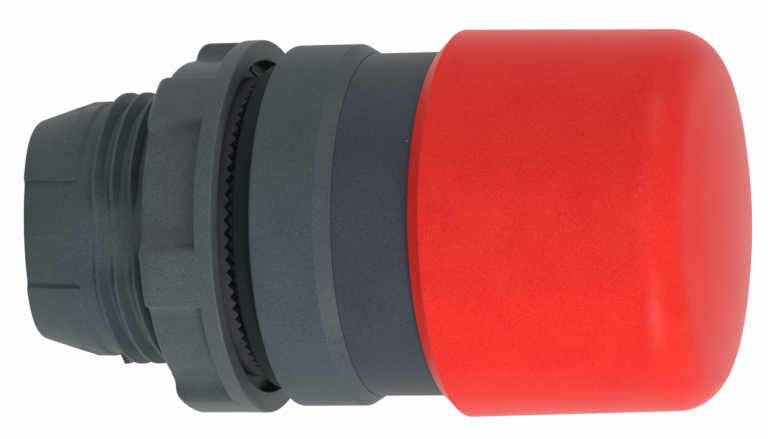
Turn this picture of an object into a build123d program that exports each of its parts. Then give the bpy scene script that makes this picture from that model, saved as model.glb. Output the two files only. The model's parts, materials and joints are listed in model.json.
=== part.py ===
from build123d import *
from math import asin, cos, pi, sin, sqrt
import os

# Operator head of an emergency stop button for a 22 mm panel hole: push to lock, turn to release.
# Millimetres. The axis is +X, from the back of the panel towards the operator, and +Z is up.
# The origin is on the axis, in the plane where the gasket's bead meets the front of the panel.

# ---- driving dimensions ----
FIT_GAP = 0.1  # between a shaft and its hole
LOOSE_GAP = 0.05  # between pieces that are assembled and don't move

THREAD_R = 11.0  # M22 x 1.5, over the crests
THREAD_ROOT_R = 10.1
THREAD_PITCH = 1.5
THREAD_X = (-14.0, -1.6)

TAIL_X = -19.85  # top and bottom of the rounded end
TAIL_END_R = 41.0  # the end is rounded about a vertical axis, so its sides are shorter
TAIL_R = 8.95
SPIGOT_R = 10.33  # plain land for the contact-block collar
SPIGOT_X = (-15.3, -14.2)
KEYWAY_TURN = 2.3  # degrees from -Y towards -Z
KEYWAY_HALF = 4.35
KEYWAY_DEPTH = 0.4

BORE_R = 8.9
REAR_BORE_R = 8.4
SHELF_X = -9.3  # where the rear bore begins
LIP_X = -17.0
LIP_R = 7.7

GASKET_T = 1.8
GASKET_R = 13.0
BEAD_R = 12.35
KEY_HALF = 1.5
KEY_TOP_R = 12.6
FLANGE_R = 14.47
FLANGE_FRONT_X = 7.1
FLANGE_END_X = 8.3
SLEEVE_R = 13.69
SLEEVE_BORE_R = 11.5
SLEEVE_FRONT_X = 17.8
SPIGOT_SEAT_R = 12.05
SPIGOT_SEAT_X = 2.6
WEB_X = (2.7, 4.2)
O_RING_X = (5.0, 6.4)
O_RING_WIRE_R = 0.3
SNAP_GROOVE_X = (0.25, 1.05)  # for the ring in front of the latch cage
SNAP_GROOVE_R = 9.5

CAP_RIM_X = 14.65
CAP_R = 15.4
CAP_CHAMFER = 1.15
CAP_SIDE_END_X = 35.3  # where the side and the dome would meet without the rounded edge
CAP_SIDE_END_R = 14.95
CAP_APEX_X = 37.45
CAP_EDGE_R = 3.5
CAP_BORE_R = 14.0
CAP_FLOOR_X = 33.85
CAP_GROOVE_X = (28.5, 29.5)  # for the wire ring between the shell and the hub

HUB_DISC_X = (27.5, 30.5)
HUB_SKIRT_R = (10.0, 11.2)
HUB_SKIRT_X = 13.0
BOSS_R = 5.0
BOSS_X = 15.8
SPINDLE_R = 3.0
SPINDLE_FRONT_X = 27.0
TAIL_ROD_R = 2.0
SHOULDER_X = -0.9
SPINDLE_END_X = -12.2
SPINDLE_FLAT = 2.4  # from the axis
CLIP_X = (-11.4, -10.8)
CLIP_GROOVE_R = 1.5
PIN_X = -4.0
PIN_R = 0.6
SCREW_R = 1.6
SCREW_END_X = 17.0

LATCH_X = -6.2
LATCH_WIRE_R = 0.5
LATCH_LEG_Y = 3.95
NECK_R = 3.3
SNAP_R = 4.8
SNAP_X = (-5.5, -2.4)
CAM_WIDTH = 6.8  # across the flats of the release cam
BUSH_REAR_X = -8.85

NUT_X = (-7.4, -1.04)
NUT_BARREL_R = 13.4
NUT_FLANGE_X = -2.47
NUT_R = 15.0
NUT_LUGS = 6
LUG_HALF_ANGLE = 9.3
LUG_PHASE = 16.0  # from straight sideways, -Y, towards -Z
GRIP_X = (-2.2, -0.55)
GRIP_R = 12.05
NUT_RECESS_X = -2.3
NUT_RECESS_R = 13.35
TEETH = 72
TOOTH_DEPTH = 0.4

PUSHER_REAR_X = -19.4
PUSHER_PLATE_X = (-10.6, -9.4)
LEG_R = (5.6, 7.2)
LEG_HALF_ANGLE = 26
WINDOW_MARGIN = 4  # degrees on each side of a leg

os.makedirs("parts", exist_ok=True)


def lathe(*points):
    """Solid of revolution about X from the (x, radius) corners of its outline."""
    return revolve(make_face(Polyline(*points, close=True)), Axis.X, 360)


def ring(x0, x1, inner, outer):
    return lathe((x0, inner), (x1, inner), (x1, outer), (x0, outer))


def rod(x0, x1, radius):
    return lathe((x0, 0), (x1, 0), (x1, radius), (x0, radius))


def turned(shape, angle):
    """The shape turned about the X axis; a shape at +Y goes towards +Z."""
    return Rot(X=angle) * shape


def sideways(angle):
    """Turn that brings a shape at +Y to this angle from -Y towards -Z."""
    return 180 + angle


def block(x, y, z):
    """Box from three (low, high) pairs."""
    size = [high - low for low, high in (x, y, z)]
    middle = [(high + low) / 2 for low, high in (x, y, z)]
    return Pos(*middle) * Box(*size)


def sector(x0, x1, inner, outer, half_angle):
    """Piece of a tube, centred on +Z."""
    outline = Polyline((x0, inner), (x1, inner), (x1, outer), (x0, outer), close=True)
    piece = revolve(make_face(outline), Axis.X, 2 * half_angle)
    return turned(piece, 90 - half_angle)


def coil(x0, x1, mean_r, wire_r, turns):
    """Round-wire coil about X, x0 to x1 over its outside."""
    length = x1 - x0 - 2 * wire_r
    path = Helix(length / turns, length, mean_r, center=(x0 + wire_r, 0, 0), direction=(1, 0, 0))
    section = Plane(origin=path @ 0, z_dir=path % 0) * Circle(wire_r)
    return sweep(section, path=path, is_frenet=True)


def wire_ring(x, mean_r, wire_r, arc):
    """Open ring of round wire about X, its gap at the bottom."""
    ring_wire = revolve(Pos(x, mean_r) * Circle(wire_r), Axis.X, arc)
    return turned(ring_wire, 90 - arc / 2)


# ---- threaded body ----
def thread_ridge():
    """The right-hand ridge of the thread, its foot sunk a little into the core."""
    foot, tip, sunk = 0.6, 0.12, 0.2  # half widths and depth
    start_x = THREAD_X[0] + foot
    length = THREAD_X[1] - THREAD_X[0] - 2 * foot
    path = Helix(THREAD_PITCH, length, THREAD_ROOT_R, center=(start_x, 0, 0), direction=(1, 0, 0))
    start = path @ 0
    section_plane = Plane(origin=start, x_dir=(0, start.Y, start.Z), z_dir=path % 0)
    height = THREAD_R - THREAD_ROOT_R
    outline = Polyline((-sunk, -foot), (height, -tip), (height, tip), (-sunk, foot), close=True)
    return sweep(section_plane * make_face(outline), path=path, is_frenet=True)


def bezel_body():
    """One moulding: tapered tail, spigot, thread, key, flange, and the bores for the mechanism."""
    groove = ring(*SNAP_GROOVE_X, BORE_R - 0.5, SNAP_GROOVE_R)
    body = lathe(
        (TAIL_X, LIP_R), (TAIL_X, TAIL_R), (SPIGOT_X[0], SPIGOT_R), (SPIGOT_X[1], SPIGOT_R),
        (THREAD_X[0], THREAD_ROOT_R), (THREAD_X[1], THREAD_ROOT_R), (THREAD_X[1], THREAD_R),
        (GASKET_T, THREAD_R), (GASKET_T, FLANGE_R), (FLANGE_FRONT_X, FLANGE_R),
        (FLANGE_END_X, SLEEVE_R + 0.06), (FLANGE_END_X, SPIGOT_SEAT_R),
        (SPIGOT_SEAT_X, SPIGOT_SEAT_R), (SPIGOT_SEAT_X, BORE_R), (SHELF_X, BORE_R),
        (SHELF_X, REAR_BORE_R), (LIP_X, REAR_BORE_R), (LIP_X, LIP_R),
    )
    body += thread_ridge()
    over_tail = lathe(
        (TAIL_X - 1, TAIL_R - KEYWAY_DEPTH), (TAIL_X, TAIL_R - KEYWAY_DEPTH),
        (SPIGOT_X[0], SPIGOT_R - KEYWAY_DEPTH), (SPIGOT_X[1], SPIGOT_R - KEYWAY_DEPTH),
        (SPIGOT_X[1], THREAD_R + 1), (TAIL_X - 1, THREAD_R + 1),
    )
    keyway = block((TAIL_X - 1, SPIGOT_X[1]), (0, THREAD_R + 1), (-KEYWAY_HALF, KEYWAY_HALF))
    relief = block((SPIGOT_X[1], THREAD_X[1]), (THREAD_ROOT_R, THREAD_R + 1), (-KEYWAY_HALF, KEYWAY_HALF))
    body -= over_tail & turned(keyway, sideways(KEYWAY_TURN))
    body -= turned(relief, sideways(KEYWAY_TURN))
    body &= Pos(TAIL_X + TAIL_END_R, 0, 0) * Cylinder(TAIL_END_R, 4 * FLANGE_R)
    key = block((GRIP_X[1] + 0.1, GASKET_T + 0.1), (-KEY_HALF, KEY_HALF), (THREAD_R - 0.4, KEY_TOP_R))
    return body + key - groove


def collar_sleeve():
    """Plain sleeve in front of the flange, with a spigot for the body and a floor for the springs."""
    outer = SPIGOT_SEAT_R - LOOSE_GAP
    groove_floor = outer - 0.65
    hole_r, pocket_r, pocket_x, bevel = 5.2, 10.2, WEB_X[1] + 2.5, 0.3
    return lathe(
        (WEB_X[0], hole_r), (WEB_X[0], outer), (O_RING_X[0], outer), (O_RING_X[0], groove_floor),
        (O_RING_X[1], groove_floor), (O_RING_X[1], outer), (FLANGE_END_X, outer), (FLANGE_END_X, SLEEVE_R),
        (SLEEVE_FRONT_X - bevel, SLEEVE_R), (SLEEVE_FRONT_X, SLEEVE_R - bevel),
        (SLEEVE_FRONT_X, SLEEVE_BORE_R), (pocket_x, SLEEVE_BORE_R), (pocket_x, pocket_r),
        (WEB_X[1], pocket_r), (WEB_X[1], hole_r),
    )


def sleeve_o_ring():
    """Rubber ring in the spigot's groove."""
    middle = sum(O_RING_X) / 2
    return revolve(Pos(middle, SPIGOT_SEAT_R - O_RING_WIRE_R - 0.04) * Circle(O_RING_WIRE_R), Axis.X, 360)


def panel_gasket():
    """Rubber gasket with a raised bead at its edge, notched for the key."""
    inner = THREAD_R + FIT_GAP
    gasket = lathe(
        (0.3, inner), (0.3, BEAD_R), (0, BEAD_R), (0, GASKET_R), (GASKET_T, GASKET_R), (GASKET_T, inner)
    )
    half = KEY_HALF + FIT_GAP
    return gasket - block((-1, GASKET_T + 1), (-half, half), (THREAD_R - 1, KEY_TOP_R + FIT_GAP))


# ---- fixing nut ----
def fixing_nut():
    """Castellated ring nut: a barrel, a thin flange in front, and six lugs for the wrench."""
    bore = THREAD_R + 0.12
    nut = lathe(
        (NUT_X[0], bore), (NUT_X[0], NUT_BARREL_R - 0.4), (NUT_X[0] + 0.4, NUT_BARREL_R),
        (NUT_FLANGE_X - 0.7, NUT_BARREL_R), (NUT_FLANGE_X, NUT_BARREL_R + 0.6),
        (NUT_FLANGE_X, NUT_R), (NUT_X[1] - 0.2, NUT_R), (NUT_X[1], NUT_R - 0.2),
        (NUT_X[1], NUT_RECESS_R), (NUT_RECESS_X, NUT_RECESS_R), (NUT_RECESS_X, bore),
    )
    rounding = 1.0
    inside = NUT_BARREL_R - 0.5
    lug = sector(NUT_X[0] + 0.1, NUT_FLANGE_X + 0.2, inside, NUT_R, LUG_HALF_ANGLE)
    corner = lathe(
        (NUT_X[0] - 1, NUT_R - rounding), (NUT_X[0] + 0.1, NUT_R - rounding),
        (NUT_X[0] + 0.1 + rounding * (1 - sqrt(0.5)), NUT_R - rounding * (1 - sqrt(0.5))),
        (NUT_X[0] + 0.1 + rounding, NUT_R), (NUT_X[0] + 0.1 + rounding, NUT_R + 1), (NUT_X[0] - 1, NUT_R + 1),
    )
    lug -= corner
    for number in range(NUT_LUGS):
        # the sector is centred on +Z, a quarter turn ahead of +Y
        nut += turned(lug, sideways(LUG_PHASE - 90 + number * 360 / NUT_LUGS))
    return nut


def grip_washer():
    """Toothed washer in the nut's recess; its teeth bite on the back of the panel."""
    inner = THREAD_R + 0.12
    washer = ring(GRIP_X[0], GRIP_X[1], inner, GRIP_R)
    half = pi * inner / TEETH * 0.85
    notch = make_face(Polyline(
        (GRIP_X[1] + 0.02, -half), (GRIP_X[1] + 0.02, half), (GRIP_X[1] - TOOTH_DEPTH, 0), close=True
    ))
    cutter = Pos(0, 0, inner - 0.5) * extrude(notch, GRIP_R - inner + 1)
    return washer - [turned(cutter, number * 360 / TEETH) for number in range(TEETH)]


# ---- mushroom head ----
def mushroom_cap():
    """Red shell: a drafted side, a rounded edge and a shallow dome."""
    rise = CAP_APEX_X - CAP_SIDE_END_X
    dome_r = (CAP_SIDE_END_R**2 + rise**2) / (2 * rise)
    half_arc = asin(CAP_SIDE_END_R / dome_r) / 2
    dome_mid = (CAP_APEX_X - dome_r * (1 - cos(half_arc)), dome_r * sin(half_arc))
    inner_corner = 2.2
    outline = Polyline(
        (CAP_FLOOR_X, 0), (CAP_FLOOR_X, CAP_BORE_R - inner_corner),
        (CAP_FLOOR_X - inner_corner, CAP_BORE_R), (CAP_RIM_X, CAP_BORE_R),
        (CAP_RIM_X, CAP_R - CAP_CHAMFER), (CAP_RIM_X + CAP_CHAMFER, CAP_R),
        (CAP_SIDE_END_X, CAP_SIDE_END_R),
    )
    outline += ThreePointArc((CAP_SIDE_END_X, CAP_SIDE_END_R), dome_mid, (CAP_APEX_X, 0))
    outline += Line((CAP_APEX_X, 0), (CAP_FLOOR_X, 0))
    cap = revolve(make_face(outline), Axis.X, 360)
    edge = cap.edges().filter_by(GeomType.CIRCLE).filter_by(
        lambda e: abs(e.center().X - CAP_SIDE_END_X) < 0.01 and abs(e.radius - CAP_SIDE_END_R) < 0.01
    )
    cap = fillet(edge, CAP_EDGE_R)
    return cap - ring(*CAP_GROOVE_X, CAP_BORE_R - 0.1, CAP_BORE_R + 0.3)


def cap_hub():
    """Carrier of the shell: a disc, a boss on the spindle and a skirt that slides in the sleeve."""
    disc_rear, disc_front = HUB_DISC_X
    rim = CAP_BORE_R - FIT_GAP
    screw_hole = SCREW_R + FIT_GAP
    hub = ring(disc_rear, disc_front, screw_hole, rim)
    hub -= ring(*CAP_GROOVE_X, rim - 0.7, rim + 1)
    hub += ring(BOSS_X, disc_rear + 0.1, SPINDLE_R + LOOSE_GAP, BOSS_R)
    hub -= rod(disc_rear - 1, SPINDLE_FRONT_X + LOOSE_GAP, SPINDLE_R + LOOSE_GAP)
    hub += ring(SPINDLE_FRONT_X + LOOSE_GAP, disc_rear + 0.1, screw_hole, BOSS_R)
    hub += ring(HUB_SKIRT_X, disc_rear + 0.1, *HUB_SKIRT_R)
    flat_z = (SPINDLE_FLAT + LOOSE_GAP, SPINDLE_R + 0.5)
    flat = block((BOSS_X, SPINDLE_FRONT_X), (-SPINDLE_R, SPINDLE_R), flat_z)
    return hub + flat


def cap_snap_ring():
    """Wire ring between the shell and the hub."""
    return wire_ring(sum(CAP_GROOVE_X) / 2, CAP_BORE_R - 0.12, 0.35, 330)


def cap_screw():
    """Pan-head screw with a hexagon socket."""
    head_r, head_height, socket_r, socket_depth = 3.5, 2.4, 1.4, 1.6
    head_end = HUB_DISC_X[1] + head_height
    screw = rod(SCREW_END_X, HUB_DISC_X[1], SCREW_R) + rod(HUB_DISC_X[1], head_end, head_r)
    socket = Plane.YZ * RegularPolygon(socket_r, 6)
    return screw - Pos(head_end - socket_depth, 0, 0) * extrude(socket, socket_depth + 0.4)


def spring_washer():
    """Slip washer between the return spring and the hub."""
    return ring(26.9, HUB_DISC_X[0], 7.6, 9.7)


def pin_hole():
    """Cross hole through the bush and the spindle."""
    return turned(Pos(PIN_X, 0, 0) * Cylinder(PIN_R, 3 * SNAP_R), 90)


def spindle():
    """Steel rod: a flat and a tapped hole in front, a thin tail with a clip groove behind."""
    groove = (CLIP_X[0] - LOOSE_GAP, CLIP_X[1] + LOOSE_GAP)
    tapped_r, tapped_x, bevel = SCREW_R + LOOSE_GAP, SCREW_END_X - 0.5, 0.3
    shaft = lathe(
        (SPINDLE_END_X, 0), (SPINDLE_END_X, TAIL_ROD_R - bevel), (SPINDLE_END_X + bevel, TAIL_ROD_R),
        (groove[0], TAIL_ROD_R), (groove[0], CLIP_GROOVE_R), (groove[1], CLIP_GROOVE_R),
        (groove[1], TAIL_ROD_R), (SHOULDER_X, TAIL_ROD_R), (SHOULDER_X, SPINDLE_R),
        (SPINDLE_FRONT_X, SPINDLE_R), (SPINDLE_FRONT_X, tapped_r), (tapped_x, tapped_r), (tapped_x, 0),
    )
    flat_z = (SPINDLE_FLAT, SPINDLE_R + 1)
    shaft -= block((BOSS_X - 0.1, SPINDLE_FRONT_X + 1), (-SPINDLE_R - 1, SPINDLE_R + 1), flat_z)
    return shaft - pin_hole()


def cam_bush():
    """Bush on the thin tail: snap flange with a conical lead-in behind, square release cam in front."""
    bore = TAIL_ROD_R + 0.02
    bush = lathe(
        (BUSH_REAR_X, bore), (BUSH_REAR_X, NECK_R), (SNAP_X[0], NECK_R), (SNAP_X[0] + 1.6, SNAP_R),
        (SNAP_X[1], SNAP_R), (SNAP_X[1], NECK_R), (SHOULDER_X, NECK_R), (SHOULDER_X, bore),
    )
    cam = block((SNAP_X[1] - 0.1, SHOULDER_X), (-CAM_WIDTH / 2, CAM_WIDTH / 2),
                (-CAM_WIDTH / 2, CAM_WIDTH / 2))
    cam &= rod(SNAP_X[1] - 0.1, SHOULDER_X, SNAP_R)
    bush += cam - rod(BUSH_REAR_X, SHOULDER_X + 1, bore)
    return bush - pin_hole()


def cam_pin():
    """Cross pin through the bush and the spindle."""
    return turned(Pos(PIN_X, 0, 0) * Cylinder(PIN_R, 2 * SNAP_R - 1.4), 90)


def spindle_clip():
    """Open clip in the groove of the tail."""
    outer, mouth = 3.6, 1.2
    clip = ring(*CLIP_X, CLIP_GROOVE_R + 0.02, outer)
    return clip - block((CLIP_X[0] - 1, CLIP_X[1] + 1), (-mouth, mouth), (0, outer + 1))


# ---- contact pusher ----
def pusher():
    """Plate on the tail with two legs that reach the contact blocks."""
    plate = ring(*PUSHER_PLATE_X, TAIL_ROD_R + FIT_GAP, LEG_R[1])
    for side in (0, 180):
        plate += turned(sector(PUSHER_REAR_X, PUSHER_PLATE_X[1], *LEG_R, LEG_HALF_ANGLE), side)
    return plate


def thrust_washer():
    return ring(PUSHER_PLATE_X[1], BUSH_REAR_X - LOOSE_GAP, TAIL_ROD_R + FIT_GAP, 4.6)


def rear_guide():
    """Plate that guides the legs, against the lip of the body."""
    guide = ring(LIP_X, LIP_X + 1.6, 4.0, REAR_BORE_R - LOOSE_GAP)
    window = sector(LIP_X - 1, LIP_X + 3, LEG_R[0] - 0.2, LEG_R[1] + 0.2, LEG_HALF_ANGLE + WINDOW_MARGIN)
    for side in (0, 180):
        guide -= turned(window, side)
    return guide


# ---- latch, springs and seal ----
def latch_cage():
    """Moulded cup round the cam bush, slotted for the latch spring."""
    rear, front = SHELF_X + 0.1, 0.2
    wall = 1.0
    cage = ring(rear, front, SNAP_R + 0.2, BORE_R - FIT_GAP)
    cage += ring(front - wall, front, SPINDLE_R + 0.2, SNAP_R + 0.3)
    slot = LATCH_WIRE_R + 0.1
    return cage - block((LATCH_X - slot, LATCH_X + slot), (-6.1, 6.1), (-7.5, 7.9))


def latch_spring():
    """Hairpin of spring wire; its legs snap in front of the bush's flange and hold it pushed in."""
    path = FilletPolyline(
        (LATCH_X, -LATCH_LEG_Y, 6.6), (LATCH_X, -LATCH_LEG_Y, -6.6),
        (LATCH_X, LATCH_LEG_Y, -6.6), (LATCH_X, LATCH_LEG_Y, 6.6), radius=1.5,
    )
    return sweep(Plane(origin=path @ 0, z_dir=path % 0) * Circle(LATCH_WIRE_R), path=path)


def cage_snap_ring():
    """Internal snap ring in front of the cage."""
    inner, mouth = 7.8, 1.5
    snap = ring(*SNAP_GROOVE_X, inner, SNAP_GROOVE_R - LOOSE_GAP)
    return snap - block((0, 2), (-mouth, mouth), (-SNAP_GROOVE_R, 0))


def spindle_seal():
    """Rubber lip seal on the spindle."""
    outer, lip = BORE_R - LOOSE_GAP, SPINDLE_R + 0.08
    return lathe(
        (1.1, lip + 0.6), (1.1, outer), (SPIGOT_SEAT_X, outer), (SPIGOT_SEAT_X, lip + 0.4),
        (2.2, lip), (1.9, lip), (1.5, lip + 0.6),
    )


def return_spring():
    return coil(WEB_X[1], 26.9, 8.6, 0.55, 7)


def torsion_spring():
    return coil(WEB_X[1] + 0.3, 15.5, 5.9, 0.45, 8)


PIECES = (
    bezel_body, collar_sleeve, sleeve_o_ring, panel_gasket, fixing_nut, grip_washer, mushroom_cap,
    cap_hub, cap_snap_ring, cap_screw, spring_washer, spindle, cam_bush, cam_pin, spindle_clip,
    pusher, thrust_washer, rear_guide, latch_cage, latch_spring, cage_snap_ring, spindle_seal,
    return_spring, torsion_spring,
)

for piece in PIECES:
    export_step(piece(), f"parts/{piece.__name__}.step")
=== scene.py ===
import json
from math import asin, cos, degrees, exp, pi, radians, sin, sqrt, tan

import bmesh
import bpy
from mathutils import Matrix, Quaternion, Vector


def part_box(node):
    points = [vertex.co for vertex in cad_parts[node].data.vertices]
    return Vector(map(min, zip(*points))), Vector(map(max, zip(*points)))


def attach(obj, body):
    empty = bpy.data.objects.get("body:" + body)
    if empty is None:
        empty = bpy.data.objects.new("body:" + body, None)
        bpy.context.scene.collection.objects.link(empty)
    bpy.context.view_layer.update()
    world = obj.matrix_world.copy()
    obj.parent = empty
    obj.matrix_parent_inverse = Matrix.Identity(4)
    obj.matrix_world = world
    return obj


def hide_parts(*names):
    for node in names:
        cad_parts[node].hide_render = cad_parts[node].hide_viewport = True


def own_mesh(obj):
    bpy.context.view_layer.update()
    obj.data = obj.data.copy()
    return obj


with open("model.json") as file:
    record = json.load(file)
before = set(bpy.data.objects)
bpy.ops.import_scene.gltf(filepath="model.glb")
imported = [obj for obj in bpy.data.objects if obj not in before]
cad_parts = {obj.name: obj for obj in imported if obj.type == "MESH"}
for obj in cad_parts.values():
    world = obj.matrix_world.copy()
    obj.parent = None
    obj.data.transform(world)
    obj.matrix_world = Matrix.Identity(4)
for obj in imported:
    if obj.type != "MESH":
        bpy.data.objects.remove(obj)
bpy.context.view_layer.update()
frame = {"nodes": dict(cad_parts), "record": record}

# ---- mushroom cap ------------------------------------------------------------------------------------
# The head is one thick shell of red plastic, moulded with a fine spark-eroded grain: a drafted side, a
# soft edge and a shallow dome. It snaps over the hub, and its open rim slides over the sleeve.
MM = 0.001


def span(node):
    """Where a node starts and ends along the axis, and its radius, in millimetres."""
    low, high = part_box(node)
    return low[0] / MM, high[0] / MM, high[1] / MM


def rounded(corners, steps=6, support=0.12):
    """Outline points from (x, radius) corners; a third number rounds that corner."""
    points = []
    for number, corner in enumerate(corners):
        here = Vector(corner[:2])
        if len(corner) == 2:
            points.append(here)
            continue
        before = (Vector(corners[number - 1][:2]) - here).normalized()
        after = (Vector(corners[(number + 1) % len(corners)][:2]) - here).normalized()
        half = before.angle(after) / 2
        reach = corner[2] / tan(half)
        centre = here + (before + after).normalized() * (corner[2] / sin(half))
        start, end = here + before * reach, here + after * reach
        points.append(start + before * support)
        for step in range(steps + 1):
            way = (start - centre).normalized().slerp((end - centre).normalized(), step / steps)
            points.append(centre + way * corner[2])
        points.append(end + after * support)
    return points


def spin(name, outline, turns=None, shape=None):
    """Mesh of an outline turned about X. shape may move a point given as (x, radius, degrees)."""
    turns = turns or [step * 1.5 for step in range(240)]
    mesh = bmesh.new()
    rings = []
    for x, radius in outline:
        if radius < 1e-6:
            rings.append([mesh.verts.new((x * MM, 0, 0))])
            continue
        ring = []
        for turn in turns:
            px, pr, pt = shape(x, radius, turn) if shape else (x, radius, turn)
            ring.append(mesh.verts.new((px * MM, -pr * MM * cos(radians(pt)), -pr * MM * sin(radians(pt)))))
        rings.append(ring)
    for number, ring in enumerate(rings):
        after = rings[(number + 1) % len(rings)]
        if len(ring) == 1 and len(after) == 1:
            continue
        for column in range(len(turns)):
            nxt = (column + 1) % len(turns)
            corners = [ring[column % len(ring)], after[column % len(after)]]
            if len(after) > 1:
                corners.append(after[nxt])
            if len(ring) > 1:
                corners.append(ring[nxt])
            mesh.faces.new(corners)
    bmesh.ops.recalc_face_normals(mesh, faces=mesh.faces)
    return finished(name, mesh)


def finished(name, mesh, smooth_below=32):
    """Object from a bmesh, smooth except over edges sharper than this many degrees."""
    data = bpy.data.meshes.new(name)
    mesh.to_mesh(data)
    mesh.free()
    data.shade_smooth()
    data.set_sharp_from_angle(angle=radians(smooth_below))
    piece = bpy.data.objects.new(name, data)
    bpy.context.collection.objects.link(piece)
    return piece


def grain_group():
    """Colour, roughness and height of moulded plastic: mottle, fine grain, and a few specks of dust."""
    group = bpy.data.node_groups.new("moulded_grain", "ShaderNodeTree")
    face = group.interface
    for name, kind, value in (
        ("Colour", "NodeSocketColor", (0.1, 0.1, 0.1, 1)),
        ("Second colour", "NodeSocketColor", (0.12, 0.12, 0.12, 1)),
        ("Grains per metre", "NodeSocketFloat", 5000.0),
        ("Roughness", "NodeSocketFloat", 0.5),
        ("Roughness spread", "NodeSocketFloat", 0.1),
        ("Dust", "NodeSocketFloat", 0.0),
    ):
        face.new_socket(name, in_out="INPUT", socket_type=kind).default_value = value
    for name, kind in (
        ("Colour", "NodeSocketColor"),
        ("Roughness", "NodeSocketFloat"),
        ("Height", "NodeSocketFloat"),
    ):
        face.new_socket(name, in_out="OUTPUT", socket_type=kind)
    nodes, link = group.nodes, group.links.new
    given, result = nodes.new("NodeGroupInput"), nodes.new("NodeGroupOutput")
    place = nodes.new("ShaderNodeTexCoord")
    fine, broad = nodes.new("ShaderNodeTexNoise"), nodes.new("ShaderNodeTexNoise")
    fine.inputs["Detail"].default_value = 3
    broad.inputs["Scale"].default_value = 260
    broad.inputs["Detail"].default_value = 5
    blotches = nodes.new("ShaderNodeMix")
    blotches.data_type = "FLOAT"
    blotches.inputs["Factor"].default_value = 0.25
    mottle = nodes.new("ShaderNodeMix")
    mottle.data_type = "RGBA"
    spread = nodes.new("ShaderNodeMapRange")
    spread.inputs["From Min"].default_value = 0.3
    spread.inputs["From Max"].default_value = 0.7
    rough = nodes.new("ShaderNodeMath")
    rough.operation = "MULTIPLY_ADD"
    specks = nodes.new("ShaderNodeTexVoronoi")
    specks.inputs["Scale"].default_value = 420
    near = nodes.new("ShaderNodeMapRange")
    near.inputs["From Min"].default_value = 0.05
    near.inputs["From Max"].default_value = 0.03
    rare = nodes.new("ShaderNodeMath")
    rare.operation = "GREATER_THAN"
    rare.inputs[1].default_value = 0.82
    pick = nodes.new("ShaderNodeSeparateColor")
    kept, dusty = nodes.new("ShaderNodeMath"), nodes.new("ShaderNodeMath")
    kept.operation = dusty.operation = "MULTIPLY"
    pale = nodes.new("ShaderNodeMix")
    pale.data_type = "RGBA"
    pale.inputs["B"].default_value = (0.5, 0.5, 0.48, 1)
    for texture in (fine, broad, specks):
        link(place.outputs["Object"], texture.inputs["Vector"])
    link(given.outputs["Grains per metre"], fine.inputs["Scale"])
    link(fine.outputs["Fac"], blotches.inputs["A"])
    link(broad.outputs["Fac"], blotches.inputs["B"])
    link(blotches.outputs["Result"], spread.inputs["Value"])
    link(spread.outputs["Result"], mottle.inputs["Factor"])
    link(given.outputs["Colour"], mottle.inputs["A"])
    link(given.outputs["Second colour"], mottle.inputs["B"])
    link(specks.outputs["Distance"], near.inputs["Value"])
    link(specks.outputs["Color"], pick.inputs["Color"])
    link(pick.outputs["Red"], rare.inputs[0])
    link(near.outputs["Result"], kept.inputs[0])
    link(rare.outputs["Value"], kept.inputs[1])
    link(kept.outputs["Value"], dusty.inputs[0])
    link(given.outputs["Dust"], dusty.inputs[1])
    link(dusty.outputs["Value"], pale.inputs["Factor"])
    link(mottle.outputs["Result"], pale.inputs["A"])
    link(pale.outputs["Result"], result.inputs["Colour"])
    link(broad.outputs["Fac"], rough.inputs[0])
    link(given.outputs["Roughness spread"], rough.inputs[1])
    link(given.outputs["Roughness"], rough.inputs[2])
    link(rough.outputs["Value"], result.inputs["Roughness"])
    link(fine.outputs["Fac"], result.inputs["Height"])
    return group


moulded_grain = grain_group()


def moulded(name, colour, second, roughness, grains=5000, grain_depth=0.00002, dust=0.0, spread=0.1,
            gloss=0.18):
    """Material of a moulded piece, plastic or rubber."""
    material = bpy.data.materials.new(name)
    material.use_nodes = True
    nodes, link = material.node_tree.nodes, material.node_tree.links.new
    shader = nodes["Principled BSDF"]
    shader.inputs["Specular IOR Level"].default_value = gloss
    grain, bump = nodes.new("ShaderNodeGroup"), nodes.new("ShaderNodeBump")
    grain.node_tree = moulded_grain
    grain.inputs["Colour"].default_value = (*colour, 1)
    grain.inputs["Second colour"].default_value = (*second, 1)
    grain.inputs["Grains per metre"].default_value = grains
    grain.inputs["Roughness"].default_value = roughness
    grain.inputs["Roughness spread"].default_value = spread
    grain.inputs["Dust"].default_value = dust
    bump.inputs["Distance"].default_value = grain_depth
    link(grain.outputs["Colour"], shader.inputs["Base Color"])
    link(grain.outputs["Roughness"], shader.inputs["Roughness"])
    link(grain.outputs["Height"], bump.inputs["Height"])
    link(bump.outputs["Normal"], shader.inputs["Normal"])
    return material


cap_rear, cap_front, cap_radius = span("mushroom_cap")
CAP_BORE_R = 14.0
CAP_FLOOR_X = cap_front - 3.6
CAP_SIDE_END = (cap_front - 2.15, 14.95)  # where side and dome would meet without the soft edge
CAP_EDGE_R = 3.5
CAP_CHAMFER = 1.15
CAP_INNER_CORNER_R = 2.2
DOME_PART_R = 9.4  # inside this radius the outline is the dome's own arc
dome_rise = cap_front - CAP_SIDE_END[0]
dome_radius = (CAP_SIDE_END[1] ** 2 + dome_rise**2) / (2 * dome_rise)
dome_points = [
    (cap_front - dome_radius * (1 - cos(way)), dome_radius * sin(way))
    for way in [step / 24 * asin(DOME_PART_R / dome_radius) for step in range(24, 0, -1)]
]
cap_outline = rounded([
    (CAP_FLOOR_X, CAP_BORE_R - 4),
    (CAP_FLOOR_X, CAP_BORE_R, CAP_INNER_CORNER_R),
    (cap_rear, CAP_BORE_R, 0.12),
    (cap_rear, cap_radius - CAP_CHAMFER, 0.12),
    (cap_rear + CAP_CHAMFER, cap_radius, 0.18),
    (*CAP_SIDE_END, CAP_EDGE_R),
    dome_points[0],
], steps=12)
cap = spin("red_cap", cap_outline + dome_points[1:] + [(cap_front, 0), (CAP_FLOOR_X, 0)])
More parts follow.
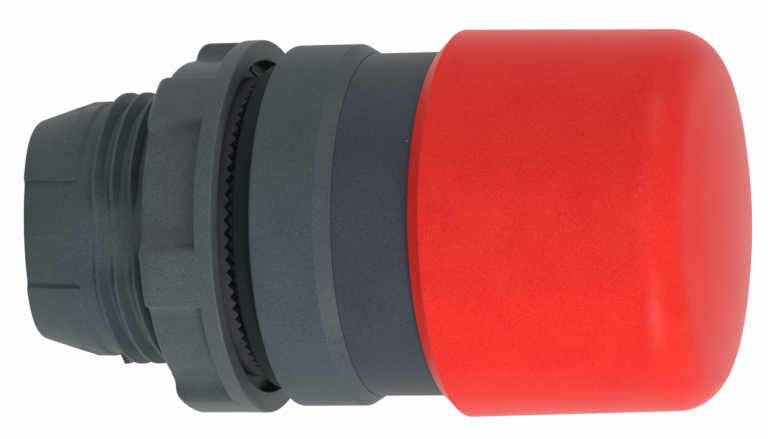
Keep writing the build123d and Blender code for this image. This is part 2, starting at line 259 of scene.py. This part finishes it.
cap.data.materials.append(
    moulded("cap_red", (0.78, 0.010, 0.012), (0.92, 0.052, 0.034), 0.30, grains=8500, grain_depth=0.000014,
            gloss=0.10)
)
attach(cap, "head")
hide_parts("mushroom_cap")

# ---- collar sleeve -----------------------------------------------------------------------------------
# A plain black sleeve stands in front of the flange and goes up inside the cap. Its spigot is pressed
# into the body, with a rubber ring in its groove, and its floor carries the two springs.
sleeve_rear, sleeve_front, sleeve_radius = span("collar_sleeve")
flange_end = span("bezel_body")[1]
SLEEVE_BORE_R = 11.5
SPIGOT_R = 12.0
RING_GROOVE_X, RING_GROOVE_R = (5.0, 6.4), 11.3
SLEEVE_HOLE_R, SPRING_POCKET_R = 5.2, 10.2
SLEEVE_FLOOR_X, SLEEVE_STEP_X = 4.2, 6.7
sleeve_foot = flange_end + 0.01
sleeve = spin("sleeve", rounded([
    (sleeve_rear, SLEEVE_HOLE_R), (sleeve_rear, SPIGOT_R, 0.3),
    (RING_GROOVE_X[0], SPIGOT_R), (RING_GROOVE_X[0], RING_GROOVE_R),
    (RING_GROOVE_X[1], RING_GROOVE_R), (RING_GROOVE_X[1], SPIGOT_R),
    (sleeve_foot, SPIGOT_R), (sleeve_foot, sleeve_radius, 0.03),
    (sleeve_front, sleeve_radius, 0.4), (sleeve_front, SLEEVE_BORE_R, 0.3),
    (SLEEVE_STEP_X, SLEEVE_BORE_R), (SLEEVE_STEP_X, SPRING_POCKET_R),
    (SLEEVE_FLOOR_X, SPRING_POCKET_R), (SLEEVE_FLOOR_X, SLEEVE_HOLE_R),
]))
sleeve.data.materials.append(
    moulded("sleeve_black", (0.028, 0.035, 0.046), (0.066, 0.074, 0.088), 0.42, grains=8000,
            grain_depth=0.000014, dust=0.8)
)
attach(sleeve, "housing")
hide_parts("collar_sleeve")

# ---- threaded body -----------------------------------------------------------------------------------
# One glass-filled black moulding: a tapered tail with a keyway, the land for the contact-block collar,
# the M22 thread, the key that stops it turning in the panel, and the round flange with its chamfer.
tail_x, _, flange_radius = span("bezel_body")
spigot = next(mount for mount in frame["record"]["mounts"] if mount["name"] == "collar_spigot")
LAND_R = spigot["dims"]["r_mm"]
TAIL_R = 8.95
THREAD_ROOT_R, THREAD_CREST_R, THREAD_PITCH = 10.1, 11.0, 1.5
THREAD_X = (-14.0, -1.6)
KEYWAY_HALF, KEYWAY_DEPTH, KEYWAY_TURN = 4.3, 0.3, 2.3
TAIL_END_R = 41.0  # the end is rounded about a vertical axis, so its sides are shorter
END_ROUNDS_FROM = -16.6
KEYWAY_EDGE = 26.0  # the column, in degrees from the keyway's middle, that becomes its side
GASKET_BACK = span("panel_gasket")[1]
FLANGE_FRONT_X = 7.1
SEAT_X, SEAT_R = 2.6, 12.05
BORE_R, REAR_BORE_R, SHELF_X = 8.9, 8.4, -9.3
LIP_X, LIP_R = -17.0, 7.7
DIMPLE_X, DIMPLE_DEPTH = -15.9, 0.32
PARTING_LINE_DEPTH = 0.035


def tail_shape(x, radius, turn):
    """Rounds the tail's end, and cuts the keyway, the mould's parting line and two grip dimples."""
    if x < END_ROUNDS_FROM:
        sideways = radius * cos(radians(turn - KEYWAY_TURN))
        back = TAIL_END_R - sqrt(TAIL_END_R**2 - sideways**2)
        x += back * (END_ROUNDS_FROM - x) / (END_ROUNDS_FROM - tail_x)
    if x > THREAD_X[0] - 0.1 or radius < TAIL_R - 0.6:
        return x, radius, turn
    away = (turn - KEYWAY_TURN + 180) % 360 - 180
    side = degrees(asin(KEYWAY_HALF / radius))
    inside = abs(away) <= KEYWAY_EDGE
    if inside:
        away *= side / KEYWAY_EDGE
    elif abs(away) < 60:
        size = side + (abs(away) - KEYWAY_EDGE) * (60 - side) / (60 - KEYWAY_EDGE)
        away = size if away > 0 else -size
    moved = (away + KEYWAY_TURN) % 360
    depth = KEYWAY_DEPTH if inside else 0
    depth -= PARTING_LINE_DEPTH * exp(-((away - 0.5) / 0.5) ** 2)
    for dimple in (75, 285):
        off = ((moved - dimple + 180) % 360 - 180) * radians(1) * radius
        depth += DIMPLE_DEPTH * exp(-((x - DIMPLE_X) / 0.55) ** 2 - (off / 0.9) ** 2)
    return x, radius - depth, moved


tail_points = [(tail_x + step / 16 * (-15.6 - tail_x), TAIL_R + step / 16 * (LAND_R - 0.06 - TAIL_R))
               for step in range(1, 17)]
columns = sorted(
    {(KEYWAY_TURN + side * (KEYWAY_EDGE + gap)) % 360 for side in (-1, 1) for gap in (0, 0.35)}
    | {(KEYWAY_TURN + 0.5 + step * 0.3) % 360 for step in (-2, -1, 0, 1, 2)}
    | {step * 1.5 for step in range(240) if abs((step * 1.5 - KEYWAY_TURN + 180) % 360 - 180) > 1.4
       and abs(abs((step * 1.5 - KEYWAY_TURN + 180) % 360 - 180) - KEYWAY_EDGE) > 0.8}
)
body_outline = (
    rounded([(LIP_X, LIP_R), (tail_x, LIP_R, 0.15), (tail_x, TAIL_R, 0.12), tail_points[2]])[:-1]
    + [Vector(point) for point in tail_points[2:]]
    + rounded([(-15.5, LAND_R - 0.02), (-14.25, LAND_R), (THREAD_X[0], THREAD_ROOT_R),
               (THREAD_X[1], THREAD_ROOT_R), (THREAD_X[1], THREAD_CREST_R), (GASKET_BACK, THREAD_CREST_R),
               (GASKET_BACK, flange_radius, 0.3), (FLANGE_FRONT_X, flange_radius, 0.12),
               (flange_end, sleeve_radius + 0.05, 0.03), (flange_end, SEAT_R),
               (SEAT_X, SEAT_R), (SEAT_X, BORE_R), (SHELF_X, BORE_R), (SHELF_X, REAR_BORE_R), (LIP_X, REAR_BORE_R)])
)
body = spin("threaded_body", body_outline, turns=columns, shape=tail_shape)


def wire(tree, source, output, target, socket):
    """Joins two nodes' sockets by name."""
    tree.links.new(source.outputs[output], target.inputs[socket])


def nodes_tree(name, sockets):
    """Geometry tree with these named inputs after the piece's own geometry."""
    tree = bpy.data.node_groups.new(name, "GeometryNodeTree")
    tree.interface.new_socket("Geometry", in_out="INPUT", socket_type="NodeSocketGeometry")
    tree.interface.new_socket("Geometry", in_out="OUTPUT", socket_type="NodeSocketGeometry")
    for label, kind in sockets:
        tree.interface.new_socket(label, in_out="INPUT", socket_type=kind)
    return tree


def ridge_tree():
    """A thread's ridge wound about X, cut off flat on the keyway's side, joined to the piece."""
    tree = nodes_tree("thread_ridge", [
        ("Start", "NodeSocketFloat"),
        ("Length", "NodeSocketFloat"),
        ("Turns", "NodeSocketFloat"),
        ("Middle radius", "NodeSocketFloat"),
        ("Height", "NodeSocketFloat"),
        ("Foot width", "NodeSocketFloat"),
        ("Tip width", "NodeSocketFloat"),
        ("Flat at", "NodeSocketFloat"),
        ("Flat towards", "NodeSocketVector"),
        ("Material", "NodeSocketMaterial"),
    ])
    new = tree.nodes.new
    given, result = new("NodeGroupInput"), new("NodeGroupOutput")
    helix, upright = new("GeometryNodeCurveSpiral"), new("GeometryNodeSetCurveNormal")
    helix.inputs["Resolution"].default_value = 90
    helix.inputs["Reverse"].default_value = True
    upright.mode = "Z_UP"
    section, laid = new("GeometryNodeCurvePrimitiveQuadrilateral"), new("GeometryNodeTransform")
    section.mode = "TRAPEZOID"
    section.inputs["Offset"].default_value = 0
    laid.inputs["Rotation"].default_value = (0, 0, radians(-90))
    sweep, lie = new("GeometryNodeCurveToMesh"), new("GeometryNodeTransform")
    sweep.inputs["Fill Caps"].default_value = True
    lie.inputs["Rotation"].default_value = (0, radians(90), 0)
    shift = new("ShaderNodeCombineXYZ")
    place, dot = new("GeometryNodeInputPosition"), new("ShaderNodeVectorMath")
    dot.operation = "DOT_PRODUCT"
    over, limit = new("ShaderNodeMath"), new("ShaderNodeMath")
    over.operation, limit.operation = "SUBTRACT", "MAXIMUM"
    limit.inputs[1].default_value = 0
    back, negative = new("ShaderNodeVectorMath"), new("ShaderNodeMath")
    back.operation, negative.operation = "SCALE", "MULTIPLY"
    negative.inputs[1].default_value = -1
    cut, both = new("GeometryNodeSetPosition"), new("GeometryNodeJoinGeometry")
    real, paint = new("GeometryNodeRealizeInstances"), new("GeometryNodeSetMaterial")
    wire(tree, given, "Turns", helix, "Rotations")
    wire(tree, given, "Middle radius", helix, "Start Radius")
    wire(tree, given, "Middle radius", helix, "End Radius")
    wire(tree, given, "Length", helix, "Height")
    wire(tree, helix, "Curve", upright, "Curve")
    wire(tree, given, "Height", section, "Height")
    wire(tree, given, "Foot width", section, "Bottom Width")
    wire(tree, given, "Tip width", section, "Top Width")
    wire(tree, section, "Curve", laid, "Geometry")
    wire(tree, upright, "Curve", sweep, "Curve")
    wire(tree, laid, "Geometry", sweep, "Profile Curve")
    wire(tree, given, "Start", shift, "X")
    wire(tree, shift, "Vector", lie, "Translation")
    wire(tree, sweep, "Mesh", lie, "Geometry")
    tree.links.new(place.outputs[0], dot.inputs[0])
    tree.links.new(given.outputs["Flat towards"], dot.inputs[1])
    tree.links.new(dot.outputs["Value"], over.inputs[0])
    tree.links.new(given.outputs["Flat at"], over.inputs[1])
    tree.links.new(over.outputs[0], limit.inputs[0])
    tree.links.new(limit.outputs[0], negative.inputs[0])
    tree.links.new(given.outputs["Flat towards"], back.inputs[0])
    wire(tree, negative, "Value", back, "Scale")
    wire(tree, back, "Vector", cut, "Offset")
    wire(tree, lie, "Geometry", cut, "Geometry")
    wire(tree, given, "Geometry", both, "Geometry")
    wire(tree, cut, "Geometry", both, "Geometry")
    wire(tree, both, "Geometry", real, "Geometry")
    wire(tree, real, "Geometry", paint, "Geometry")
    wire(tree, given, "Material", paint, "Material")
    wire(tree, paint, "Geometry", result, "Geometry")
    return tree


def grown(piece, tree, values):
    """Runs a geometry tree on a piece with these named inputs and keeps the plain mesh that it makes."""
    modifier = piece.modifiers.new("grow", "NODES")
    modifier.node_group = tree
    sockets = {item.name: item.identifier for item in tree.interface.items_tree if item.in_out == "INPUT"}
    for label, value in values.items():
        modifier[sockets[label]] = value
    ready = piece.evaluated_get(bpy.context.evaluated_depsgraph_get())
    data = bpy.data.meshes.new_from_object(ready)
    piece.modifiers.remove(modifier)
    piece.data = data
    data.shade_smooth()
    data.set_sharp_from_angle(angle=radians(32))
    return piece


body_black = moulded("body_black", (0.036, 0.052, 0.060), (0.086, 0.106, 0.116), 0.46, grains=7500,
                     grain_depth=0.000016, dust=0.35)
SUNK = 0.15  # how far the ridge's foot goes into the core
ridge_height = THREAD_CREST_R - THREAD_ROOT_R + SUNK
thread_length = THREAD_X[1] - THREAD_X[0] - 1.2
near_side = (0, -cos(radians(KEYWAY_TURN)), -sin(radians(KEYWAY_TURN)))
grown(body, ridge_tree(), {
    "Start": (THREAD_X[0] + 0.6) * MM, "Length": thread_length * MM, "Turns": thread_length / THREAD_PITCH,
    "Middle radius": (THREAD_CREST_R - ridge_height / 2) * MM, "Height": ridge_height * MM,
    "Foot width": 1.2 * MM, "Tip width": 0.26 * MM, "Flat at": (THREAD_ROOT_R + 0.02) * MM,
    "Flat towards": near_side, "Material": body_black,
})
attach(body, "housing")
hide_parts("bezel_body")

# ---- anti-rotation key -------------------------------------------------------------------------------
# A small rectangular key stands out of the register behind the flange, moulded with the body. It drops
# into the notch at the top of the panel's hole.
KEY_HALF, KEY_TOP_R, KEY_REAR_X = 1.5, 12.6, -0.45
key_mesh = bmesh.new()
bmesh.ops.create_cube(key_mesh, size=1)
for vert in key_mesh.verts:
    vert.co.x = (KEY_REAR_X if vert.co.x < 0 else GASKET_BACK + 0.1) * MM
    vert.co.y *= 2 * KEY_HALF * MM
    vert.co.z = (THREAD_CREST_R - 0.4 if vert.co.z < 0 else KEY_TOP_R) * MM
bmesh.ops.bevel(key_mesh, geom=key_mesh.edges[:], offset=0.2 * MM, segments=3, affect="EDGES", profile=0.5)
key = finished("panel_key", key_mesh)
key.data.materials.append(body_black)
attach(key, "housing")

# ---- panel gasket ------------------------------------------------------------------------------------
# A moulded black rubber ring sits behind the flange. The bead at its edge is squeezed on the panel, and
# the ring is notched at the top for the key.
gasket_rear, gasket_front, gasket_radius = span("panel_gasket")
BEAD_R, WEB_X, GASKET_BORE_R = 12.35, 0.3, 11.1
KEY_NOTCH_R, KEY_NOTCH_HALF = 12.72, 7.2


def key_notch(x, radius, turn):
    """Widens the ring's bore at the top, to clear the key."""
    if abs(turn - 270) < KEY_NOTCH_HALF:
        radius = max(radius, KEY_NOTCH_R)
    return x, radius, turn


gasket = spin("gasket", rounded([
    (WEB_X, GASKET_BORE_R), (WEB_X, BEAD_R, 0.12), (gasket_rear, BEAD_R, 0.1),
    (gasket_rear, gasket_radius, 0.2), (gasket_front, gasket_radius, 0.15), (gasket_front, GASKET_BORE_R),
]), shape=key_notch)
gasket.data.materials.append(
    moulded("gasket_black", (0.004, 0.008, 0.010), (0.012, 0.018, 0.020), 0.62, grains=3600, dust=1.0)
)
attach(gasket, "housing")
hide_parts("panel_gasket")

# ---- fixing nut --------------------------------------------------------------------------------------
# A castellated ring nut in fine-grained dark grey plastic: a barrel, a thin flange that clamps the grip
# washer, and six lugs for the wrench, each with a rounded back corner and coves down to the barrel.
nut_rear, nut_front, nut_radius = span("fixing_nut")
BARREL_R = 13.4
NUT_FLANGE_X = -2.47
LUG_PHASE = 16.0
NUT_BORE_R, RECESS_R, RECESS_X = 11.12, 13.35, -2.3
nut = spin("castle_nut", rounded([
    (nut_rear, NUT_BORE_R, 0.25), (nut_rear, BARREL_R, 0.45), (NUT_FLANGE_X - 0.25, BARREL_R, 0.5),
    (NUT_FLANGE_X, nut_radius - 0.02, 0.16), (nut_front, nut_radius, 0.16), (nut_front, RECESS_R, 0.1),
    (RECESS_X, RECESS_R), (RECESS_X, NUT_BORE_R),
]))


def lug_mesh():
    """One lug on the near side: stations along X, each an arch with coved feet."""
    arch = [(0.0, 15.0), (1.1, 15.0), (2.0, 15.0), (2.22, 14.95), (2.38, 14.8), (2.48, 14.5), (2.56, 14.1),
            (2.68, 13.8), (2.9, 13.58), (3.2, 13.46), (3.6, 13.38)]
    arch = [(-y, r) for y, r in reversed(arch[1:])] + arch
    foot = BARREL_R - 0.1
    rear, front, corner = nut_rear + 0.12, NUT_FLANGE_X + 0.3, 1.0
    stations = [rear + corner * (1 - cos(radians(90 * step / 8))) for step in range(9)]
    stations += [rear + corner + 0.3, (rear + front) / 2, front]
    mesh = bmesh.new()
    rows = []
    for x in stations:
        drop = corner - sqrt(max(0, corner**2 - max(0, rear + corner - x) ** 2))
        share = (nut_radius - drop - foot) / (nut_radius - foot)
        row = []
        for y, r in arch:
            height = foot + (r - foot) * share
            turn = y / r
            row.append(mesh.verts.new((x * MM, -height * MM * cos(turn), -height * MM * sin(turn))))
        for y in (3.6, -3.6):
            turn = y / BARREL_R
            height = foot - 0.8
            row.append(mesh.verts.new((x * MM, -height * MM * cos(turn), -height * MM * sin(turn))))
        rows.append(row)
    for row, after in zip(rows, rows[1:]):
        for number in range(len(row)):
            nxt = (number + 1) % len(row)
            mesh.faces.new((row[number], row[nxt], after[nxt], after[number]))
    mesh.faces.new(rows[0])
    mesh.faces.new(rows[-1])
    bmesh.ops.recalc_face_normals(mesh, faces=mesh.faces)
    return finished("lug_pattern", mesh)


def around_tree():
    """Copies of one piece, evenly turned about X, joined to the piece that carries them."""
    tree = nodes_tree("around_axis", [
        ("Pattern", "NodeSocketObject"), ("Count", "NodeSocketInt"), ("First", "NodeSocketFloat"),
        ("Material", "NodeSocketMaterial"),
    ])
    new = tree.nodes.new
    given, result = new("NodeGroupInput"), new("NodeGroupOutput")
    points, pattern = new("GeometryNodePoints"), new("GeometryNodeObjectInfo")
    number, share = new("GeometryNodeInputIndex"), new("ShaderNodeMath")
    share.operation = "DIVIDE"
    turn, spread = new("ShaderNodeMath"), new("ShaderNodeCombineXYZ")
    turn.operation = "MULTIPLY_ADD"
    turn.inputs[1].default_value = 2 * pi
    copies, both = new("GeometryNodeInstanceOnPoints"), new("GeometryNodeJoinGeometry")
    real, paint = new("GeometryNodeRealizeInstances"), new("GeometryNodeSetMaterial")
    wire(tree, given, "Count", points, "Count")
    wire(tree, given, "Pattern", pattern, "Object")
    tree.links.new(number.outputs[0], share.inputs[0])
    tree.links.new(given.outputs["Count"], share.inputs[1])
    tree.links.new(share.outputs[0], turn.inputs[0])
    tree.links.new(given.outputs["First"], turn.inputs[2])
    wire(tree, turn, "Value", spread, "X")
    tree.links.new(points.outputs[0], copies.inputs["Points"])
    wire(tree, pattern, "Geometry", copies, "Instance")
    wire(tree, spread, "Vector", copies, "Rotation")
    wire(tree, given, "Geometry", both, "Geometry")
    wire(tree, copies, "Instances", both, "Geometry")
    wire(tree, both, "Geometry", real, "Geometry")
    wire(tree, real, "Geometry", paint, "Geometry")
    wire(tree, given, "Material", paint, "Material")
    wire(tree, paint, "Geometry", result, "Geometry")
    return tree


around_axis = around_tree()
lug = lug_mesh()
grown(nut, around_axis, {
    "Pattern": lug, "Count": 6, "First": radians(LUG_PHASE),
    "Material": moulded("nut_grey", (0.048, 0.062, 0.070), (0.104, 0.122, 0.128), 0.40, grains=7000,
                        grain_depth=0.000016),
})
bpy.data.objects.remove(lug)
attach(nut, "nut")
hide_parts("fixing_nut")

# ---- grip washer -------------------------------------------------------------------------------------
# A thin moulded ring in the nut's recess, a little warmer in colour. Its front is a crown of fine V teeth
# that bite on the back of the panel, so that the nut doesn't work loose.
grip_rear, grip_front, grip_radius = span("grip_washer")
TEETH, TOOTH_DEPTH, GRIP_BORE_R = 72, 0.4, 11.12
grip = spin("grip_ring", rounded([
    (grip_rear, GRIP_BORE_R), (grip_rear, grip_radius, 0.1), (grip_front - TOOTH_DEPTH, grip_radius),
    (grip_front - TOOTH_DEPTH, GRIP_BORE_R),
]))
tooth_mesh = bmesh.new()
half_tooth = pi / TEETH * 0.97
ends = []
for radius in (GRIP_BORE_R + 0.01, grip_radius - 0.01):
    row = []
    for x, turn in ((-0.2, -half_tooth), (0, -half_tooth), (TOOTH_DEPTH, -half_tooth * 0.12),
                    (TOOTH_DEPTH, half_tooth * 0.12), (0, half_tooth), (-0.2, half_tooth)):
        px = grip_front - TOOTH_DEPTH + x
        row.append(tooth_mesh.verts.new((px * MM, -radius * MM * cos(turn), -radius * MM * sin(turn))))
    ends.append(row)
for number in range(6):
    nxt = (number + 1) % 6
    tooth_mesh.faces.new((ends[0][number], ends[0][nxt], ends[1][nxt], ends[1][number]))
for row in ends:
    tooth_mesh.faces.new(row)
bmesh.ops.recalc_face_normals(tooth_mesh, faces=tooth_mesh.faces)
tooth = finished("tooth_pattern", tooth_mesh)
grown(grip, around_axis, {
    "Pattern": tooth, "Count": TEETH, "First": 0.0,
    "Material": moulded("grip_grey", (0.040, 0.036, 0.050), (0.066, 0.060, 0.078), 0.5, grains=4200),
})
bpy.data.objects.remove(tooth)
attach(grip, "grip")
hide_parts("grip_washer")

# ---- pusher, guide, cage and hub ---------------------------------------------------------------------
# The inner mouldings are natural, uncoloured plastic, so they look creamy and faintly blotched. The
# guide and the two legs show in the open tail, and the hub's skirt shows up inside the cap's rim.
natural = moulded("natural_plastic", (0.60, 0.57, 0.50), (0.68, 0.65, 0.58), 0.38, grains=2600)
for node in ("pusher", "rear_guide", "latch_cage", "cap_hub", "cam_bush"):
    frame["nodes"][node].data.materials.clear()
    frame["nodes"][node].data.materials.append(natural)

# ---- rubber seals ------------------------------------------------------------------------------------
# Two moulded rubber seals, greased, keep water out of the mechanism: a ring round the sleeve's spigot
# and a lip on the spindle.
seal_black = moulded("seal_black", (0.012, 0.012, 0.013), (0.022, 0.022, 0.023), 0.35, grains=3000)
for node in ("sleeve_o_ring", "spindle_seal"):
    frame["nodes"][node].data.materials.clear()
    frame["nodes"][node].data.materials.append(seal_black)


# ---- spindle, pins, clips and springs ----------------------------------------------------------------
# Turned steel for the rod, pin and screw, with fine rings left by the tool; drawn wire and punched strip
# for the springs, clips and washers, a little darker.
def steel(name, dark, light, roughness, rings_per_metre):
    """Bare steel with fine marks across the axis."""
    material = bpy.data.materials.new(name)
    material.use_nodes = True
    nodes, link = material.node_tree.nodes, material.node_tree.links.new
    shader, place = nodes["Principled BSDF"], nodes.new("ShaderNodeTexCoord")
    stretch, marks = nodes.new("ShaderNodeMapping"), nodes.new("ShaderNodeTexNoise")
    stretch.inputs["Scale"].default_value = (rings_per_metre, 60, 60)
    marks.inputs["Scale"].default_value = 1
    marks.inputs["Detail"].default_value = 4
    tone, rough = nodes.new("ShaderNodeMix"), nodes.new("ShaderNodeMapRange")
    tone.data_type = "RGBA"
    tone.inputs["A"].default_value = (*dark, 1)
    tone.inputs["B"].default_value = (*light, 1)
    rough.inputs["To Min"].default_value = roughness - 0.08
    rough.inputs["To Max"].default_value = roughness + 0.12
    bump = nodes.new("ShaderNodeBump")
    bump.inputs["Distance"].default_value = 0.000004
    shader.inputs["Metallic"].default_value = 1
    link(place.outputs["Object"], stretch.inputs["Vector"])
    link(stretch.outputs["Vector"], marks.inputs["Vector"])
    link(marks.outputs["Fac"], tone.inputs["Factor"])
    link(marks.outputs["Fac"], rough.inputs["Value"])
    link(marks.outputs["Fac"], bump.inputs["Height"])
    link(tone.outputs["Result"], shader.inputs["Base Color"])
    link(rough.outputs["Result"], shader.inputs["Roughness"])
    link(bump.outputs["Normal"], shader.inputs["Normal"])
    return material


turned_steel = steel("turned_steel", (0.48, 0.48, 0.49), (0.66, 0.66, 0.67), 0.28, 9000)
drawn_steel = steel("drawn_steel", (0.36, 0.36, 0.37), (0.56, 0.56, 0.57), 0.34, 2500)
for metal, nodes_of_it in (
    (turned_steel, ("spindle", "cam_pin", "cap_screw")),
    (drawn_steel, ("cap_snap_ring", "spring_washer", "spindle_clip", "thrust_washer", "latch_spring",
                   "cage_snap_ring", "torsion_spring")),
):
    for node in nodes_of_it:
        frame["nodes"][node].data.materials.clear()
        frame["nodes"][node].data.materials.append(metal)

# ---- return spring -----------------------------------------------------------------------------------
# A coil of drawn steel wire stands between the sleeve's floor and the hub's slip washer. It pushes the
# head out, and closes up by the head's travel when the head is pressed.
coil_mesh = bmesh.new()
coil_mesh.from_mesh(frame["nodes"]["return_spring"].data)
bmesh.ops.remove_doubles(coil_mesh, verts=coil_mesh.verts, dist=0.001 * MM)
return_coil = finished("return_coil", coil_mesh, smooth_below=50)
return_coil.data.materials.append(drawn_steel)
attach(return_coil, "housing")
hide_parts("return_spring")
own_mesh(return_coil)

# ---- studio ------------------------------------------------------------------------------------------
# The head is held by its panel, so the pale floor is well below it. On the head's side a narrow lamp
# shines from above, a stronger one from below and a broad weak one from the front, in an even pale room.
FLOOR_Z = -0.65
floor_mesh = bmesh.new()
FLOOR_BACK_Y, SWEEP_R, WALL_TOP_Z = 1.6, 0.8, 3.5
profile = [(-3.0, FLOOR_Z), (FLOOR_BACK_Y, FLOOR_Z)]
for step in range(1, 11):
    way = radians(step * 9)
    profile.append((FLOOR_BACK_Y + SWEEP_R * sin(way), FLOOR_Z + SWEEP_R * (1 - cos(way))))
profile.append((FLOOR_BACK_Y + SWEEP_R, WALL_TOP_Z))
rows = [[floor_mesh.verts.new((x, y, z)) for x in (-4.0, 4.0)] for y, z in profile]
for row, after in zip(rows, rows[1:]):
    floor_mesh.faces.new((row[0], row[1], after[1], after[0]))
floor = finished("studio_floor", floor_mesh)
pale = bpy.data.materials.new("pale_paper")
pale.use_nodes = True
nodes, link = pale.node_tree.nodes, pale.node_tree.links.new
paper, rays = nodes["Principled BSDF"], nodes.new("ShaderNodeLightPath")
paper.inputs["Base Color"].default_value = (0.86, 0.86, 0.86, 1)
paper.inputs["Roughness"].default_value = 0.9
white, blend_in = nodes.new("ShaderNodeEmission"), nodes.new("ShaderNodeMixShader")
seen = nodes.new("ShaderNodeMath")
seen.operation = "MAXIMUM"
share = nodes.new("ShaderNodeMath")
share.operation = "MULTIPLY"
share.inputs[1].default_value = 0.985
glossy = nodes.new("ShaderNodeMath")
glossy.operation = "MAXIMUM"
link(rays.outputs["Is Camera Ray"], glossy.inputs[0])
link(rays.outputs["Is Glossy Ray"], glossy.inputs[1])
link(glossy.outputs["Value"], seen.inputs[0])
link(rays.outputs["Is Transmission Ray"], seen.inputs[1])
link(seen.outputs["Value"], share.inputs[0])
link(share.outputs["Value"], blend_in.inputs["Fac"])
link(paper.outputs["BSDF"], blend_in.inputs[1])
link(white.outputs["Emission"], blend_in.inputs[2])
link(blend_in.outputs["Shader"], nodes["Material Output"].inputs["Surface"])
floor.data.materials.append(pale)

world = bpy.data.worlds.new("pale_room")
bpy.context.scene.world = world
world.use_nodes = True
nodes, link = world.node_tree.nodes, world.node_tree.links.new
room, rays = nodes["Background"], nodes.new("ShaderNodeLightPath")
level = nodes.new("ShaderNodeMix")
level.data_type = "RGBA"
level.inputs["A"].default_value = (0.45, 0.455, 0.465, 1)
level.inputs["B"].default_value = (1, 1, 1, 1)
glossy, seen = nodes.new("ShaderNodeMath"), nodes.new("ShaderNodeMath")
glossy.operation = seen.operation = "MAXIMUM"
link(rays.outputs["Is Camera Ray"], glossy.inputs[0])
link(rays.outputs["Is Glossy Ray"], glossy.inputs[1])
link(glossy.outputs["Value"], seen.inputs[0])
link(rays.outputs["Is Transmission Ray"], seen.inputs[1])
link(seen.outputs["Value"], level.inputs["Factor"])
link(level.outputs["Result"], room.inputs["Color"])


def softbox(name, place, size, power, aim=(0.01, 0, 0)):
    """Area lamp, (width, height) across, that faces the object."""
    lamp = bpy.data.lights.new(name, "AREA")
    lamp.shape = "RECTANGLE"
    lamp.size, lamp.size_y = size
    lamp.energy = power
    holder = bpy.data.objects.new(name, lamp)
    holder.location = place
    holder.visible_camera = False
    holder.rotation_mode = "QUATERNION"
    holder.rotation_quaternion = (Vector(aim) - Vector(place)).to_track_quat("-Z", "Y")
    bpy.context.collection.objects.link(holder)


softbox("upper_lamp", (0.29, -0.16, 0.56), (0.14, 0.34), 0.75)
softbox("lower_lamp", (0.29, -0.27, -0.51), (0.14, 0.34), 2.4)
softbox("front_lamp", (0.30, -0.90, 0.05), (0.70, 0.70), 1.8)

CAMERA_PLACE, CAMERA_AIM = (0.120, -0.378, 0.0), (0.0086, 0, 0.0004)
ROLL = -0.85  # degrees; the axis climbs a little to the right
eye = bpy.data.cameras.new("camera")
eye.lens = 231
eye.sensor_width = 36
eye.clip_start = 0.01
camera = bpy.data.objects.new("camera", eye)
camera.location = CAMERA_PLACE
camera.rotation_mode = "QUATERNION"
look = (Vector(CAMERA_AIM) - Vector(CAMERA_PLACE)).to_track_quat("-Z", "Y")
camera.rotation_quaternion = look @ Quaternion((0, 0, 1), radians(ROLL))
bpy.context.collection.objects.link(camera)
bpy.context.scene.camera = camera
bpy.context.scene.view_settings.view_transform = "Standard"
